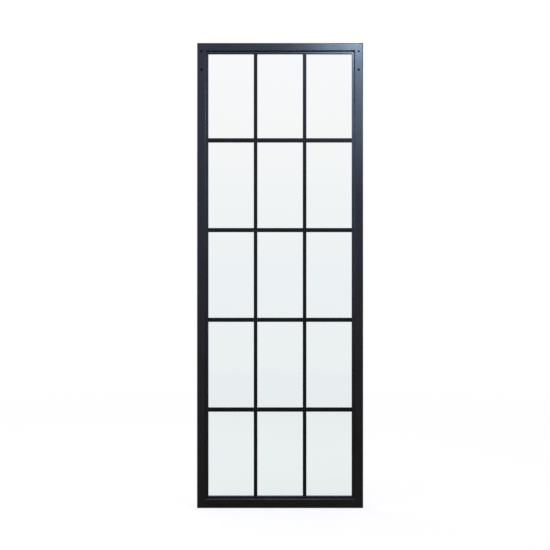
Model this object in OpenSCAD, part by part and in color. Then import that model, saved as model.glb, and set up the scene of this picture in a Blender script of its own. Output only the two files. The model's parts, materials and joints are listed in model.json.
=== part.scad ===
// Glazed steel barn door leaf: a mitred box-tube frame around one glass sheet,
// divided into lites by flat bars on both faces.
// X runs across the door, the front faces -Y, Z is up. The origin is the middle of the bottom edge.

/* [Door] */
// Width of the leaf
door_w = 762; // [600:1:915]
// Height of the leaf
door_h = 2134; // [1800:1:2400]
// Depth of the leaf, front to back
door_depth = 38; // [36:1:50]

/* [Frame tube] */
// Width of a stile, seen from the front
stile_face = 41; // [32:0.5:60]
// Height of the top rail, seen from the front
top_rail_face = 38; // [30:0.5:60]
// Height of the bottom rail, seen from the front
bottom_rail_face = 43; // [30:0.5:60]
// Wall of the tubes
tube_wall = 2; // [1.5:0.1:3]
// Outer corner radius of the tubes
tube_radius = 4; // [1:0.5:6]

/* [Hanger holes] */
// Diameter of a hanger hole
hanger_hole_d = 10; // [6:0.5:12]
// Depth of the upper hanger hole below the top edge
hanger_drop = 38; // [35:0.5:60]
// Height between the two hanger holes of a stile
hanger_pitch = 85; // [60:0.5:120]
// Depth of a hanger hole from the front of its stile
hanger_hole_depth = 30; // [20:1:32]
// Outer diameter of a hanger bush
bush_d = 16; // [15:0.5:20]

/* [Glass] */
// Thickness of the glass
glass_t = 5; // [4:0.5:6]
// Room between the edge of the glass and the tube
glass_edge_room = 4; // [3:0.5:5]

/* [Stops and beads] */
// Width of a stop or bead, seen from the front
stop_sight = 10; // [9:0.5:14]
// How far the front stops stay back from the front of the tubes
front_recess = 10; // [6:0.5:12]
// How far the rear beads stay back from the rear of the tubes
rear_recess = 7; // [6:0.5:7.5]
// Radius of a stop's or bead's long edges
stop_radius = 0.8; // [0.3:0.1:1.5]
// Thickness of the glazing tape
tape_t = 1.5; // [1:0.1:2]
// How far the glazing tape stays back from the edge of its stop
tape_setback = 1; // [0.5:0.1:2]

/* [Bead screws] */
// Diameter of a screw's shank
screw_d = 3.5; // [2.5:0.1:4]
// Diameter of a screw's countersunk head
screw_head_d = 6.4; // [6:0.1:7]
// Length of a screw, head included
screw_length = 18; // [15:0.5:25]
// Longest distance between two screws
screw_pitch = 300; // [200:10:450]
// Distance of the last screw from the corner
screw_end = 80; // [50:5:120]
// Width of a cut in the cross recess
screw_slot_w = 0.9; // [0.5:0.1:1.2]
// Length of a cut in the cross recess
screw_slot_l = 3; // [2:0.1:3.4]
// Depth of the cross recess
screw_slot_depth = 1; // [0.5:0.1:1.2]
// Room around a screw's shank in the bead
screw_room = 0.2; // [0.1:0.05:0.5]
// Room around a screw in its pilot hole
pilot_room = 0.05; // [0.02:0.01:0.1]

/* [Bars] */
// Lites across the door
lite_columns = 3; // [2:1:3]
// Lites up the door
lite_rows = 5; // [3:1:5]
// How much lower the top and bottom lites are than the others
end_lite_less = 6; // [0:0.5:20]
// Width of an upright bar
upright_w = 16.5; // [10:0.5:25]
// Height of a cross bar
cross_w = 19; // [10:0.5:25]
// Thickness of a bar
bar_t = 4; // [2:0.1:6]
// Radius of a bar's long edges
bar_radius = 0.6; // [0.3:0.1:0.9]
// Thickness of the bar tape
bar_tape_t = 1; // [0.5:0.1:1.5]
// How far the bar tape stays back from the edges of its bar
bar_tape_setback = 1.5; // [0.5:0.1:3]
// Gap where bars meet each other or the stops
bar_gap = 0.3; // [0.1:0.05:1]

/* [Glazing blocks] */
// Length of a setting block under the glass
setting_block_l = 80; // [40:1:120]
// Distance of a setting block's middle from the middle of the door
setting_block_x = 170; // [100:1:200]
// Length of a location block beside the glass
location_block_l = 50; // [30:1:80]
// Distance of a location block's middle from the end of the opening
location_block_end = 300; // [100:1:500]

/* [Hidden] */
$fn = 48;
paint = "#2b2d32";
rubber = "#1b1b1c";
phosphate = "#35363a";
glazing = [0.88, 0.95, 0.94, 0.35];
cut_room = 1;

SIDES = ["bottom", "left", "top", "right"];
FACES = ["front", "rear"];
HANDS = ["left", "right"];
ENDS = ["upper", "lower"];

opening_w = door_w - 2 * stile_face;
opening_h = door_h - top_rail_face - bottom_rail_face;
opening_middle = bottom_rail_face + opening_h / 2;
sight_w = opening_w - 2 * stop_sight;
sight_h = opening_h - 2 * stop_sight;
glass_w = opening_w - 2 * glass_edge_room;
glass_h = opening_h - 2 * glass_edge_room;
lite_w = (sight_w - (lite_columns - 1) * upright_w) / lite_columns;
lite_h = (sight_h - (lite_rows - 1) * cross_w + 2 * end_lite_less) / lite_rows;
stop_y = glass_t / 2 + tape_t;
screw_head_h = (screw_head_d - screw_d) / 2;
least_inner_radius = 0.3;
inner_radius = max(tube_radius - tube_wall, least_inner_radius);

function hand(name) = name == "left" ? -1 : 1;
function out_from_glass(face) = face == "front" ? -1 : 1;
function stop_depth(face) = door_depth / 2 - stop_y - (face == "front" ? front_recess : rear_recess);
function stop_middle(face) = out_from_glass(face) * (stop_y + stop_depth(face) / 2);
function is_rail(side) = side == "bottom" || side == "top";
function side_turn(side) = side == "bottom" ? 0 : side == "left" ? 90 : side == "top" ? 180 : 270;
function screws_on(length) = floor((length - 2 * screw_end) / screw_pitch) + 2;
function screw_xs(length) = [
    for (i = [0 : screws_on(length) - 1])
        -length / 2 + screw_end + i * (length - 2 * screw_end) / (screws_on(length) - 1)
];
function opening_length(side) = is_rail(side) ? opening_w : opening_h;
function opening_across(side) = is_rail(side) ? opening_h : opening_w;
function hanger_z(end) = door_h - hanger_drop - (end == "upper" ? 0 : hanger_pitch);
function end_setbacks(side) = is_rail(side) ? [stile_face, stile_face]
    : side == "left" ? [top_rail_face, bottom_rail_face]
    : [bottom_rail_face, top_rail_face];
function upright_x(i) = (i - lite_columns / 2) * (lite_w + upright_w);
function cross_x(column) = upright_x(column - 0.5);
function cross_z(row) = opening_middle + (lite_rows / 2 - row) * (lite_h + cross_w);

function tube_name(side) = str(side, is_rail(side) ? "_rail" : "_stile");
function bush_name(end, name) = str("hanger_bush_", end, "_", name);
function upright_name(face, i) = str(face, "_upright_bar_", i);
function cross_name(face, row, column) = str(face, "_cross_bar_", row, "_", column);
function location_name(end, name) = str("location_block_", end, "_", name);

// Rectangle with round corners
module rounded_section(w, h, radius) {
    square([w - 2 * radius, h], center = true);
    square([w, h - 2 * radius], center = true);
    for (x = [-1, 1]) {
        for (y = [-1, 1]) {
            translate([x * (w / 2 - radius), y * (h / 2 - radius)])
                circle(radius);
        }
    }
}

// Section of a frame tube: depth along X, face along Y from zero up
module tube_section(face_w) {
    translate([0, face_w / 2])
        difference() {
            rounded_section(door_depth, face_w, tube_radius);
            rounded_section(door_depth - 2 * tube_wall, face_w - 2 * tube_wall, inner_radius);
        }
}

// A section run along X and mitred at both ends, on its outer edge at z = 0
module mitred_bar(length, reach, setbacks) {
    intersection() {
        rotate([90, 0, 90])
            linear_extrude(length, center = true)
                children();
        rotate([90, 0, 0])
            linear_extrude(2 * door_depth, center = true)
                polygon([
                    [-length / 2, 0],
                    [length / 2, 0],
                    [length / 2 - setbacks[1], reach],
                    [-length / 2 + setbacks[0], reach]
                ]);
    }
}

// Carries a bar from the bottom of a rectangle around the given height to one of its sides
module on_side(side, across, middle) {
    translate([0, 0, middle])
        rotate([0, side_turn(side), 0])
            translate([0, 0, -across / 2])
                children();
}

// Carries a bar to one side of the tubes' opening
module on_opening(side) {
    on_side(side, opening_across(side), opening_middle)
        children();
}

// Puts a shape at each bead screw of one side, with the tube's face at z = 0
module at_screws(side) {
    on_opening(side) {
        for (x = screw_xs(opening_length(side))) {
            translate([x, stop_middle("rear"), 0])
                children();
        }
    }
}

// Pilot hole in a tube's wall
module pilot_hole() {
    translate([0, 0, -tube_wall - cut_room])
        cylinder(d = screw_d + 2 * pilot_room, h = tube_wall + 2 * cut_room);
}

// Hole through a bead, countersunk for the screw's head
module bead_hole() {
    translate([0, 0, -cut_room])
        cylinder(d = screw_d + 2 * screw_room, h = stop_sight + 2 * cut_room);
    translate([0, 0, stop_sight - screw_head_h])
        cylinder(d1 = screw_d, d2 = screw_head_d + 2 * cut_room, h = screw_head_h + cut_room);
}

// Carries a shape to a hanger hole, with the front of the stile at z = 0
module at_hanger(end, name) {
    translate([hand(name) * (door_w - stile_face) / 2, -door_depth / 2, hanger_z(end)])
        rotate([90, 0, 0])
            children();
}

// Hanger holes in the front walls of both stiles
module hanger_holes() {
    for (end = ENDS) {
        for (name = HANDS) {
            at_hanger(end, name)
                translate([0, 0, -tube_wall - cut_room])
                    cylinder(d = hanger_hole_d, h = tube_wall + 2 * cut_room);
        }
    }
}

// One mitred tube of the frame
module frame_tube(side) {
    reach = side == "top" ? top_rail_face : side == "bottom" ? bottom_rail_face : stile_face;
    length = is_rail(side) ? door_w : door_h;
    across = is_rail(side) ? door_h : door_w;
    color(paint)
        difference() {
            on_side(side, across, door_h / 2)
                mitred_bar(length, reach, end_setbacks(side))
                    tube_section(reach);
            at_screws(side)
                pilot_hole();
            if (!is_rail(side)) {
                hanger_holes();
            }
        }
}

// Closed-end bush between the walls of a stile, bored from the front
module hanger_bush(end, name) {
    color(phosphate)
        at_hanger(end, name)
            difference() {
                translate([0, 0, tube_wall - door_depth])
                    cylinder(d = bush_d, h = door_depth - 2 * tube_wall);
                translate([0, 0, -hanger_hole_depth])
                    cylinder(d = hanger_hole_d, h = hanger_hole_depth);
            }
}

// Bar with softened long edges around the opening, on one face of the glass
module glazing_bar(face, side) {
    on_opening(side)
        mitred_bar(opening_length(side), stop_sight, [stop_sight, stop_sight])
            translate([stop_middle(face), stop_sight / 2])
                rounded_section(stop_depth(face), stop_sight, stop_radius);
}

// Fixed stop in front of the glass
module front_stop(side) {
    color(paint)
        glazing_bar("front", side);
}

// Removable bead behind the glass
module rear_bead(side) {
    color(paint)
        difference() {
            glazing_bar("rear", side);
            at_screws(side)
                bead_hole();
        }
}

// Countersunk screw pointing down, with the top of its head at z = 0
module bead_screw() {
    difference() {
        union() {
            translate([0, 0, -screw_length])
                cylinder(d = screw_d, h = screw_length);
            translate([0, 0, -screw_head_h])
                cylinder(d1 = screw_d, d2 = screw_head_d, h = screw_head_h);
        }
        for (turn = [0, 90]) {
            rotate([0, 0, turn])
                cube([screw_slot_l, screw_slot_w, 2 * screw_slot_depth], center = true);
        }
    }
}

// All the screws of the rear beads
module bead_screws() {
    color(paint) {
        for (side = SIDES) {
            at_screws(side)
                translate([0, 0, stop_sight])
                    bead_screw();
        }
    }
}

// Single sheet of glass
module glass_sheet() {
    color(glazing)
        translate([0, 0, opening_middle])
            cube([glass_w, glass_t, glass_h], center = true);
}

// Ring of tape between the glass and its stops or beads
module glazing_tape(face) {
    band = stop_sight - glass_edge_room - tape_setback;
    color(rubber)
        translate([0, out_from_glass(face) * (stop_y - tape_t / 2), opening_middle])
            difference() {
                cube([glass_w, tape_t, glass_h], center = true);
                cube([glass_w - 2 * band, tape_t + cut_room, glass_h - 2 * band], center = true);
            }
}

// Flat strip with softened long edges, standing on the glass along Z
module bar_strip(face, w, length) {
    translate([0, out_from_glass(face) * (glass_t / 2 + bar_tape_t + bar_t / 2), 0])
        linear_extrude(length, center = true)
            rounded_section(w, bar_t, bar_radius);
}

// Tape under a bar strip
module strip_tape(face, w, length) {
    translate([0, out_from_glass(face) * (glass_t + bar_tape_t) / 2, 0])
        cube([w - 2 * bar_tape_setback, bar_tape_t, length - 2 * bar_tape_setback], center = true);
}

// Carries a strip to an upright bar's place
module at_upright(i) {
    translate([upright_x(i), 0, opening_middle])
        children();
}

// Carries a strip, turned level, to a cross bar's place
module at_cross(row, column) {
    translate([cross_x(column), 0, cross_z(row)])
        rotate([0, 90, 0])
            children();
}

// Upright bar over the whole height of the glass
module upright_bar(face, i) {
    color(paint)
        at_upright(i)
            bar_strip(face, upright_w, sight_h - 2 * bar_gap);
}

// Cross bar over the width of one lite
module cross_bar(face, row, column) {
    color(paint)
        at_cross(row, column)
            bar_strip(face, cross_w, lite_w - 2 * bar_gap);
}

// Tape strips under all the bars of one face
module bar_tape(face) {
    color(rubber) {
        for (i = [1 : lite_columns - 1]) {
            at_upright(i)
                strip_tape(face, upright_w, sight_h - 2 * bar_gap);
        }
        for (row = [1 : lite_rows - 1]) {
            for (column = [1 : lite_columns]) {
                at_cross(row, column)
                    strip_tape(face, cross_w, lite_w - 2 * bar_gap);
            }
        }
    }
}

// Block that carries the bottom edge of the glass
module setting_block(name) {
    color(rubber)
        translate([hand(name) * setting_block_x, 0, bottom_rail_face + glass_edge_room / 2])
            cube([setting_block_l, glass_t, glass_edge_room], center = true);
}

// Block that keeps the glass centred between the stiles
module location_block(end, name) {
    x = hand(name) * (glass_w + glass_edge_room) / 2;
    up = (end == "upper" ? 1 : -1) * (opening_h / 2 - location_block_end);
    color(rubber)
        translate([x, 0, opening_middle + up])
            cube([glass_edge_room, glass_t, location_block_l], center = true);
}

for (side = SIDES) {
    frame_tube(side);
    front_stop(side);
    rear_bead(side);
}
for (end = ENDS) {
    for (name = HANDS) {
        hanger_bush(end, name);
        location_block(end, name);
    }
}
for (name = HANDS) {
    setting_block(name);
}
bead_screws();
glass_sheet();
for (face = FACES) {
    glazing_tape(face);
    bar_tape(face);
    for (i = [1 : lite_columns - 1]) {
        upright_bar(face, i);
    }
    for (row = [1 : lite_rows - 1]) {
        for (column = [1 : lite_columns]) {
            cross_bar(face, row, column);
        }
    }
}
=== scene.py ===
"""Dresses the glazed barn door leaf: satin black powder coat, clear glass, tape, rubber and steel."""

import json
import math
from collections import namedtuple

import bpy
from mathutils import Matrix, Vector


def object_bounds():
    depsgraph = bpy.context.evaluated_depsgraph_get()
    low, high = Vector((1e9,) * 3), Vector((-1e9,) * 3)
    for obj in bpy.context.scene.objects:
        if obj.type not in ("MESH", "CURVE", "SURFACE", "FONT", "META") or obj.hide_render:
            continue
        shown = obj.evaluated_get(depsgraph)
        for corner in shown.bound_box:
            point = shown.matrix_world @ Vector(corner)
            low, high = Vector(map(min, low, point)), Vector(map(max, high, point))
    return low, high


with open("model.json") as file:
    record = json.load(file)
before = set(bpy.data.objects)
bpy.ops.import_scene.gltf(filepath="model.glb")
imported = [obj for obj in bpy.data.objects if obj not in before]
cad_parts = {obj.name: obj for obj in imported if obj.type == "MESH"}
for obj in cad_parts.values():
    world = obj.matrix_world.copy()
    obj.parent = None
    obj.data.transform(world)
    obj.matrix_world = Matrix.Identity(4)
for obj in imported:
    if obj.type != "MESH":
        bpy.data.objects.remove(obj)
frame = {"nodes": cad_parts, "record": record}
cad_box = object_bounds()
NODES = frame["nodes"]
SLOTS = {row["node"]: row["material_slot"] for row in frame["record"]["subparts"]}
LOW, HIGH = cad_box
DOOR_HEIGHT = HIGH.z - LOW.z
FRONT_Y = LOW.y

MM = 0.001

Grain = namedtuple("Grain", "scale detail")
Bump = namedtuple("Bump", "strength distance")
Coat = namedtuple("Coat", "gloss shine edge")
Panel = namedtuple("Panel", "size power colour")

# Camera: level at about the middle of the door's height, straight ahead
PHOTO_PIXELS = 550
PIXELS_PER_METRE = 218.1
OUTLINE_CENTRE = (280.1, 275.5)
CAMERA_DISTANCE = 5.0
SENSOR_WIDTH = 36.0
LEVEL_VIEW = (math.radians(90), 0, 0)

# Floor: its size, its fade to the backdrop, its look to the eye, and its look in reflections,
# along it and from steep directions
FLOOR_RADIUS = 7.0
FLOOR_CORNERS = 96
FLOOR_DROP = 0.2 * MM
FLOOR_FADE = (2.5, 5.5)
FLOOR_GLOW = 0.77
FLOOR_SEEN = (0.202, 0.19, 0.194)
FLOOR_ALONG = (0.1, 0.07, 0.008)
FLOOR_STEEP = (0.43, 0.46, 0.63)
STEEP_FACING = (0.25, 0.6)

# Sky for light and reflections: colours from straight down to straight up, stronger to the left
SKY_STOPS = (
    (0.0, (0.08, 0.07, 0.05)),
    (0.42, (0.19, 0.145, 0.08)),
    (0.5, (0.41, 0.37, 0.4)),
    (0.6, (0.69, 0.9, 1.66)),
    (0.7, (0.55, 0.66, 1.0)),
    (0.8, (0.75, 0.78, 0.85)),
    (1.0, (1.0, 1.0, 1.0)),
)
LEFT_GAIN = 2.2
LEFT_REACH = (-0.8, -0.2)

# Backdrop, white to the eye, from the horizon up
BACKDROP_LOW = (1.0, 1.0, 1.036)
BACKDROP_HIGH = (1.08, 1.025, 1.0)
BACKDROP_RISE = (0.5, 0.57)

# Lamps: two cool ones mirrored at points (x, z) of the front, one above and one behind
WINDOW_COLOUR = (0.57, 0.8, 1.07)
WINDOW_PANEL = Panel((0.208, 0.078), 7.6, WINDOW_COLOUR)
WINDOW_MIRRORED = (0.345, 2.155)
SIDE_PANEL = Panel((0.143, 0.5), 2.3, WINDOW_COLOUR)
SIDE_MIRRORED = (0.445, 1.82)
MIRROR_AHEAD = 1.5
TOP_PANEL = Panel((2.4, 1.2), 22.0, (0.95, 0.98, 1.0))
TOP_PLACE = (0.0, -0.9, 3.6)
TOP_TARGET = (0.0, 0.0, 1.0)
BACK_PANEL = Panel((1.2, 1.2), 22.0, (0.92, 0.96, 1.0))
BACK_PLACE = (-1.6, 2.2, 2.8)
BACK_TARGET = (0.0, 0.0, 1.2)

# Satin black powder coat
PAINT_DARK = (0.0044, 0.0037, 0.0027)
PAINT_LIGHT = (0.0058, 0.005, 0.0039)
COATS = {
    "frame": Coat(gloss=0.3, shine=0.5, edge=0.2 * MM),
    "stop": Coat(gloss=0.3, shine=0.56, edge=0.3 * MM),
    "bar": Coat(gloss=0.33, shine=0.22, edge=0.25 * MM),
}
CLOUDS = Grain(5.0, 4.0)
CLOUD_SHEEN = 0.03
SPECKS = Grain(450.0, 2.0)
SPECK_SHEEN = 0.025
SPECK_BUMP = Bump(0.05, 0.05 * MM)
PEEL = Grain(620.0, 1.5)
PEEL_BUMP = Bump(0.12, 0.15 * MM)

# Slightly green glass with the faint roller wave of tempering
GLASS_TINT = (0.878, 0.923, 0.905)
GLASS_IOR = 1.5
ROLLER_WAVE = Grain(3.2, 1.0)
WAVE_STRETCH = (0.4, 1.0, 1.0)
WAVE_BUMP = Bump(0.05, 0.4 * MM)

# Black foam tape, with pores
FOAM_DARK = (0.008, 0.008, 0.008)
FOAM_LIGHT = (0.022, 0.022, 0.022)
FOAM_ROUGHNESS = (0.75, 0.95)
PORES = Grain(900.0, 3.0)
PORE_BUMP = Bump(0.35, 0.2 * MM)

# Rubber blocks, with a moulded grain
RUBBER_DARK = (0.014, 0.014, 0.014)
RUBBER_LIGHT = (0.03, 0.03, 0.029)
RUBBER_ROUGHNESS = (0.55, 0.75)
MOULDED = Grain(700.0, 4.0)
MOULDED_BUMP = Bump(0.25, 0.15 * MM)

# Black zinc screws and phosphated bushes, with crystals in the plating; the bushes' near black is
# partly their dark phosphate, partly painted shade in the hanger holes
ZINC_DARK = (0.035, 0.035, 0.038)
ZINC_LIGHT = (0.07, 0.07, 0.075)
ZINC_ROUGHNESS = (0.3, 0.46)
# Bush colours, partly dark phosphate and partly painted shade in the hanger holes
PHOSPHATE_AND_HOLE_SHADE_DARK = (0.006, 0.006, 0.007)
PHOSPHATE_AND_HOLE_SHADE_LIGHT = (0.012, 0.012, 0.014)
PHOSPHATE_ROUGHNESS = (0.52, 0.68)
CRYSTALS = Grain(260.0, 5.0)
CRYSTAL_BUMP = Bump(0.1, 0.05 * MM)

# Noise values that count as its low and high end
NOISE_RANGE = (0.3, 0.7)

# Softened edges
WELD_REACH = 0.001 * MM
EDGE_SEGMENTS = 2
SHARP_ANGLE = math.radians(40)

# What is seen after fewer bounces than this is seen directly
BOUNCE_LIMIT = 0.5

# Sockets of the Mix node for colours
MIX_FACTOR, MIX_FIRST, MIX_SECOND, MIX_RESULT = 0, 6, 7, 2


def add_node(tree, kind, **settings):
    """A new node, with its plain settings and, after in_, the values of its inputs."""
    node = tree.nodes.new(kind)
    for name, value in settings.items():
        if name.startswith("in_"):
            node.inputs[name.removeprefix("in_").replace("_", " ")].default_value = value
        else:
            setattr(node, name, value)
    return node


def new_material(name):
    """A node material with only an output, and that output."""
    material = bpy.data.materials.new(name)
    material.use_nodes = True
    material.node_tree.nodes.clear()
    return material, material.node_tree, add_node(material.node_tree, "ShaderNodeOutputMaterial")


def noise(tree, grain, stretch=(1, 1, 1)):
    """Noise over the object's own coordinates, in metres."""
    place = add_node(tree, "ShaderNodeTexCoord")
    mapping = add_node(tree, "ShaderNodeMapping", in_Scale=stretch)
    texture = add_node(tree, "ShaderNodeTexNoise", in_Scale=grain.scale, in_Detail=grain.detail)
    tree.links.new(place.outputs["Object"], mapping.inputs["Vector"])
    tree.links.new(mapping.outputs["Vector"], texture.inputs["Vector"])
    return texture.outputs["Fac"]


def spread(tree, value, low, high, start=NOISE_RANGE[0], end=NOISE_RANGE[1]):
    """Maps a value between start and end to the range from low to high."""
    node = add_node(tree, "ShaderNodeMapRange", in_From_Min=start, in_From_Max=end,
                    in_To_Min=low, in_To_Max=high)
    tree.links.new(value, node.inputs["Value"])
    return node.outputs["Result"]


def blend_colours(tree, factor, first, second):
    """A colour between two plain or linked ones, by a factor from 0 to 1."""
    node = add_node(tree, "ShaderNodeMix", data_type="RGBA")
    for place, colour in ((MIX_FIRST, first), (MIX_SECOND, second)):
        if isinstance(colour, tuple):
            node.inputs[place].default_value = (*colour, 1)
        else:
            tree.links.new(colour, node.inputs[place])
    tree.links.new(factor, node.inputs[MIX_FACTOR])
    return node.outputs[MIX_RESULT]


def compute(tree, operation, first, second):
    """The result of a sum on a linked value and a linked or plain one."""
    node = add_node(tree, "ShaderNodeMath", operation=operation)
    tree.links.new(first, node.inputs[0])
    if isinstance(second, float):
        node.inputs[1].default_value = second
    else:
        tree.links.new(second, node.inputs[1])
    return node.outputs[0]


def add_bump(tree, shader, layers):
    """Stacks layers of a height and its bump on a shader."""
    normal = None
    for height, bump in layers:
        node = add_node(tree, "ShaderNodeBump", in_Strength=bump.strength, in_Distance=bump.distance)
        tree.links.new(height, node.inputs["Height"])
        if normal:
            tree.links.new(normal, node.inputs["Normal"])
        normal = node.outputs["Normal"]
    tree.links.new(normal, shader.inputs["Normal"])


def powder_coat(name, coat):
    """Satin powder coat: orange-peel skin, slow changes of sheen and fine specks."""
    material, tree, output = new_material(name)
    shader = add_node(tree, "ShaderNodeBsdfPrincipled", in_Specular_IOR_Level=coat.shine)
    clouds = noise(tree, CLOUDS)
    specks = noise(tree, SPECKS)
    colour = blend_colours(tree, spread(tree, clouds, 0.0, 1.0), PAINT_DARK, PAINT_LIGHT)
    slow = spread(tree, clouds, coat.gloss - CLOUD_SHEEN, coat.gloss + CLOUD_SHEEN)
    fine = spread(tree, specks, -SPECK_SHEEN, SPECK_SHEEN)
    tree.links.new(colour, shader.inputs["Base Color"])
    tree.links.new(compute(tree, "ADD", slow, fine), shader.inputs["Roughness"])
    add_bump(tree, shader, [(noise(tree, PEEL), PEEL_BUMP), (specks, SPECK_BUMP)])
    tree.links.new(shader.outputs["BSDF"], output.inputs["Surface"])
    return material


def clear_glass(name):
    """Tempered float glass, which lets the lamps' light through without bending it."""
    material, tree, output = new_material(name)
    tint = (*GLASS_TINT, 1)
    shader = add_node(tree, "ShaderNodeBsdfPrincipled", in_Base_Color=tint, in_Roughness=0.0,
                      in_IOR=GLASS_IOR, in_Transmission_Weight=1.0)
    add_bump(tree, shader, [(noise(tree, ROLLER_WAVE, WAVE_STRETCH), WAVE_BUMP)])
    path = add_node(tree, "ShaderNodeLightPath")
    lamp_side = add_node(tree, "ShaderNodeBsdfTransparent", in_Color=tint)
    mix = add_node(tree, "ShaderNodeMixShader")
    tree.links.new(path.outputs["Is Shadow Ray"], mix.inputs[0])
    tree.links.new(shader.outputs["BSDF"], mix.inputs[1])
    tree.links.new(lamp_side.outputs["BSDF"], mix.inputs[2])
    tree.links.new(mix.outputs["Shader"], output.inputs["Surface"])
    return material


def grained(name, grain, bump, dark, light, roughness, metallic=0.0):
    """A material whose colour, roughness and height follow one fine grain."""
    material, tree, output = new_material(name)
    shader = add_node(tree, "ShaderNodeBsdfPrincipled", in_Metallic=metallic)
    height = noise(tree, grain)
    colour = blend_colours(tree, spread(tree, height, 0.0, 1.0), dark, light)
    tree.links.new(colour, shader.inputs["Base Color"])
    tree.links.new(spread(tree, height, *roughness), shader.inputs["Roughness"])
    add_bump(tree, shader, [(height, bump)])
    tree.links.new(shader.outputs["BSDF"], output.inputs["Surface"])
    return material


def plated_steel(name, dark, light, roughness):
    """Plated steel with cloudy crystals in the plating."""
    return grained(name, CRYSTALS, CRYSTAL_BUMP, dark, light, roughness, metallic=1.0)


def dress_nodes():
    """Gives each solid the material of its slot and softens the sharp edges of the painted ones."""
    looks = {
        "clear_glass": clear_glass("tempered_glass"),
        "black_tape": grained("foam_tape", PORES, PORE_BUMP, FOAM_DARK, FOAM_LIGHT, FOAM_ROUGHNESS),
        "block_rubber": grained("block_rubber", MOULDED, MOULDED_BUMP, RUBBER_DARK, RUBBER_LIGHT,
                                RUBBER_ROUGHNESS),
        "black_screw": plated_steel("black_zinc", ZINC_DARK, ZINC_LIGHT, ZINC_ROUGHNESS),
        # The bushes' near black is partly dark phosphate and partly painted shade in the hanger holes
        "bush_steel": plated_steel("phosphated_steel_and_hole_shade", PHOSPHATE_AND_HOLE_SHADE_DARK, PHOSPHATE_AND_HOLE_SHADE_LIGHT,
                                   PHOSPHATE_ROUGHNESS),
    }
    edges = {}
    for piece, coat in COATS.items():
        looks[f"{piece}_paint"] = powder_coat(f"{piece}_powder_coat", coat)
        edges[f"{piece}_paint"] = coat.edge
    for name, obj in NODES.items():
        slot = SLOTS[name]
        for holder in obj.material_slots:
            holder.material = looks[slot]
        if slot in edges:
            soften_edges(obj, edges[slot])


def soften_edges(obj, width):
    """Welds the split corners of a solid and rounds its sharp edges."""
    weld = obj.modifiers.new("weld", "WELD")
    weld.merge_threshold = WELD_REACH
    bevel = obj.modifiers.new("soft_edges", "BEVEL")
    bevel.width = width
    bevel.segments = EDGE_SEGMENTS
    bevel.limit_method = "ANGLE"
    bevel.angle_limit = SHARP_ANGLE
    bevel.loop_slide = False
    bevel.harden_normals = True


def direct_sight(tree):
    """1 for what the camera sees, straight or through glass, and 0 after any other bounce."""
    path = add_node(tree, "ShaderNodeLightPath")
    bounces = compute(tree, "ADD", path.outputs["Glossy Depth"], path.outputs["Diffuse Depth"])
    return compute(tree, "LESS_THAN", bounces, BOUNCE_LIMIT)


def make_world():
    """White behind the door, and a soft sky, darker towards the floor, for light and reflections."""
    world = bpy.data.worlds.new("studio")
    bpy.context.scene.world = world
    world.use_nodes = True
    tree = world.node_tree
    tree.nodes.clear()
    output = add_node(tree, "ShaderNodeOutputWorld")
    background = add_node(tree, "ShaderNodeBackground")
    direction = add_node(tree, "ShaderNodeTexCoord")
    parts = add_node(tree, "ShaderNodeSeparateXYZ")
    tree.links.new(direction.outputs["Generated"], parts.inputs["Vector"])
    height = spread(tree, parts.outputs["Z"], 0.0, 1.0, -1.0, 1.0)
    ramp = add_node(tree, "ShaderNodeValToRGB")
    stops = ramp.color_ramp.elements
    for place, _ in SKY_STOPS[1:-1]:
        stops.new(place)
    for stop, (_, colour) in zip(stops, SKY_STOPS):
        stop.color = (*colour, 1)
    tree.links.new(height, ramp.inputs["Fac"])
    sky = add_node(tree, "ShaderNodeVectorMath", operation="SCALE")
    gain = spread(tree, parts.outputs["X"], LEFT_GAIN, 1.0, *LEFT_REACH)
    tree.links.new(ramp.outputs["Color"], sky.inputs["Vector"])
    tree.links.new(gain, sky.inputs["Scale"])
    rise = spread(tree, height, 0.0, 1.0, *BACKDROP_RISE)
    backdrop = blend_colours(tree, rise, BACKDROP_LOW, BACKDROP_HIGH)
    view = blend_colours(tree, direct_sight(tree), sky.outputs["Vector"], backdrop)
    tree.links.new(view, background.inputs["Color"])
    tree.links.new(background.outputs["Background"], output.inputs["Surface"])


def floor_material():
    """Pale floor that fades to the white backdrop and keeps the door's shadow."""
    material, tree, output = new_material("studio_floor")
    sight = direct_sight(tree)
    place = add_node(tree, "ShaderNodeTexCoord")
    length = add_node(tree, "ShaderNodeVectorMath", operation="LENGTH")
    tree.links.new(place.outputs["Object"], length.inputs[0])
    fade = spread(tree, length.outputs["Value"], 0.0, 1.0, *FLOOR_FADE)
    facing = add_node(tree, "ShaderNodeLayerWeight")
    steep = spread(tree, facing.outputs["Facing"], 1.0, 0.0, *STEEP_FACING)
    mirrored = blend_colours(tree, steep, FLOOR_ALONG, FLOOR_STEEP)
    matt = add_node(tree, "ShaderNodeBsdfDiffuse")
    tree.links.new(blend_colours(tree, sight, mirrored, FLOOR_SEEN), matt.inputs["Color"])
    glow = add_node(tree, "ShaderNodeEmission")
    tree.links.new(compute(tree, "MULTIPLY", sight, FLOOR_GLOW), glow.inputs["Strength"])
    near = add_node(tree, "ShaderNodeAddShader")
    tree.links.new(matt.outputs["BSDF"], near.inputs[0])
    tree.links.new(glow.outputs["Emission"], near.inputs[1])
    far = add_node(tree, "ShaderNodeEmission", in_Color=(*BACKDROP_LOW, 1))
    tree.links.new(sight, far.inputs["Strength"])
    mix = add_node(tree, "ShaderNodeMixShader")
    tree.links.new(fade, mix.inputs[0])
    tree.links.new(near.outputs["Shader"], mix.inputs[1])
    tree.links.new(far.outputs["Emission"], mix.inputs[2])
    tree.links.new(mix.outputs["Shader"], output.inputs["Surface"])
    return material


def make_floor():
    """Round pale floor under the door."""
    bpy.ops.mesh.primitive_circle_add(vertices=FLOOR_CORNERS, radius=FLOOR_RADIUS, fill_type="NGON")
    floor = bpy.context.object
    floor.name = "studio_floor"
    floor.location.z = -FLOOR_DROP
    floor.data.materials.append(floor_material())


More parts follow.
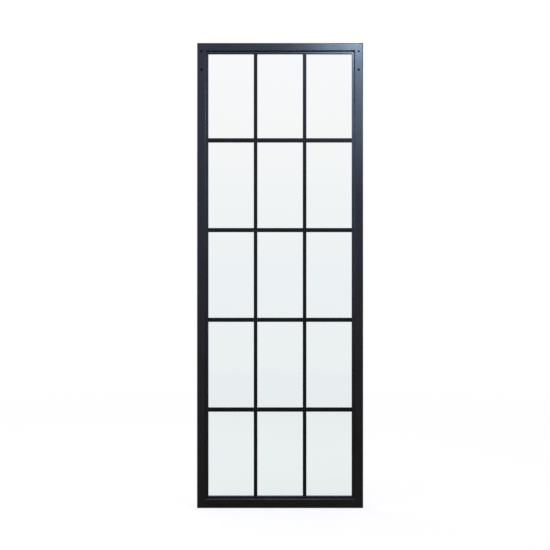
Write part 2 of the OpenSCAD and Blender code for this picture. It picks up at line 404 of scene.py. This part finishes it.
def all_but_glass():
    """A light group that leaves out the glass, so that no lamp is mirrored in it."""
    group = bpy.data.collections.new("all_but_glass")
    for name, slot in SLOTS.items():
        if slot == "clear_glass":
            group.objects.link(NODES[name])
    for member in group.collection_objects:
        member.light_linking.link_state = "EXCLUDE"
    return group


def softbox(name, panel, place, target, lit):
    """Rectangular soft lamp aimed at a point, which lights one group."""
    light = bpy.data.lights.new(name, "AREA")
    light.shape = "RECTANGLE"
    light.size, light.size_y = panel.size
    light.energy = panel.power
    light.color = panel.colour
    lamp = bpy.data.objects.new(name, light)
    lamp.location = place
    lamp.rotation_euler = (Vector(target) - Vector(place)).to_track_quat("-Z", "Y").to_euler()
    lamp.light_linking.receiver_collection = lit
    bpy.context.scene.collection.objects.link(lamp)


def mirror_place(x, z, eye):
    """The place ahead of the door that the camera sees mirrored at a point of its front."""
    reach = MIRROR_AHEAD / (FRONT_Y - eye.y)
    return (x + (x - eye.x) * reach, FRONT_Y - MIRROR_AHEAD, z + (z - eye.z) * reach)


def make_lights(eye):
    """Cool window-like panels mirrored around the top right corner, and soft ones above and behind."""
    corner = (HIGH.x, FRONT_Y, HIGH.z)
    lit = all_but_glass()
    softbox("window_panel", WINDOW_PANEL, mirror_place(*WINDOW_MIRRORED, eye), corner, lit)
    softbox("side_panel", SIDE_PANEL, mirror_place(*SIDE_MIRRORED, eye), corner, lit)
    softbox("top_panel", TOP_PANEL, TOP_PLACE, TOP_TARGET, lit)
    softbox("back_panel", BACK_PANEL, BACK_PLACE, BACK_TARGET, lit)


def make_camera():
    """Level camera whose view puts the door's outline where the photograph has it."""
    camera = bpy.data.cameras.new("camera")
    camera.sensor_width = SENSOR_WIDTH
    camera.lens = SENSOR_WIDTH * CAMERA_DISTANCE * PIXELS_PER_METRE / PHOTO_PIXELS
    eye = bpy.data.objects.new("camera", camera)
    middle = PHOTO_PIXELS / 2
    eye.location = (
        (middle - OUTLINE_CENTRE[0]) / PIXELS_PER_METRE,
        FRONT_Y - CAMERA_DISTANCE,
        DOOR_HEIGHT / 2 + (OUTLINE_CENTRE[1] - middle) / PIXELS_PER_METRE,
    )
    eye.rotation_euler = LEVEL_VIEW
    bpy.context.scene.collection.objects.link(eye)
    bpy.context.scene.camera = eye
    return eye.location


bpy.context.scene.view_settings.view_transform = "Standard"
eye = make_camera()
make_world()
make_floor()
make_lights(eye)
dress_nodes()
